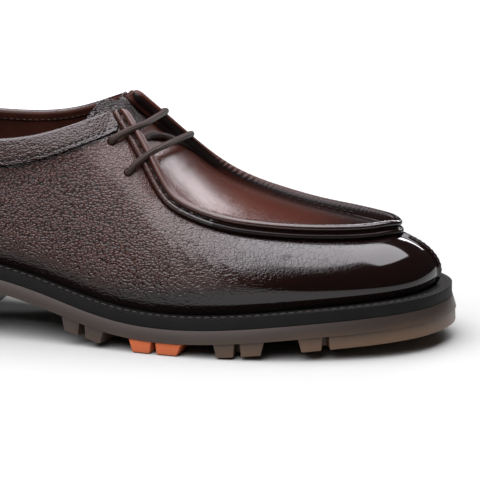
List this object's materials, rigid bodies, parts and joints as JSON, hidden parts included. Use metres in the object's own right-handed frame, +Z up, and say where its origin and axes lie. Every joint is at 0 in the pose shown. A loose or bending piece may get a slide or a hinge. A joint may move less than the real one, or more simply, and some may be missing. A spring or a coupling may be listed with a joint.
{
  "type": "lace-up shoe",
  "caption": "Right lace-up shoe of burnished grained leather with a raised apron seam, split toe, banded collar, round lace in punched holes, dark welt and a lugged rubber sole and heel.",
  "frame": {"origin": "on the floor under the middle of the sole's box", "axes": "+X towards the toe, +Y towards the medial (inner) side of the foot, +Z up"},
  "size_m": [0.3058, 0.1135, 0.1092],
  "materials": {
    "grain_leather": "burnished dark brown grained leather, glossy",
    "edge_leather": "black dressed welt, satin",
    "lining_leather": "smooth brown lining leather, matt",
    "amber_rubber": "translucent grey-brown rubber, satin",
    "accent_rubber": "orange rubber, satin",
    "waxed_cord": "waxed round braid, dark brown"
  },
  "bodies": {
    "root": {"outsole": "amber_rubber", "accent_lug_lateral": "accent_rubber", "accent_lug_medial": "accent_rubber", "heel": "amber_rubber", "welt": "edge_leather", "insole": "lining_leather", "upper": "grain_leather", "collar_band": "grain_leather", "tongue": "grain_leather", "lace_bar_lower": "waxed_cord", "lace_bar_upper": "waxed_cord", "lace_under_bar": "waxed_cord"}
  },
  "joints": []
}
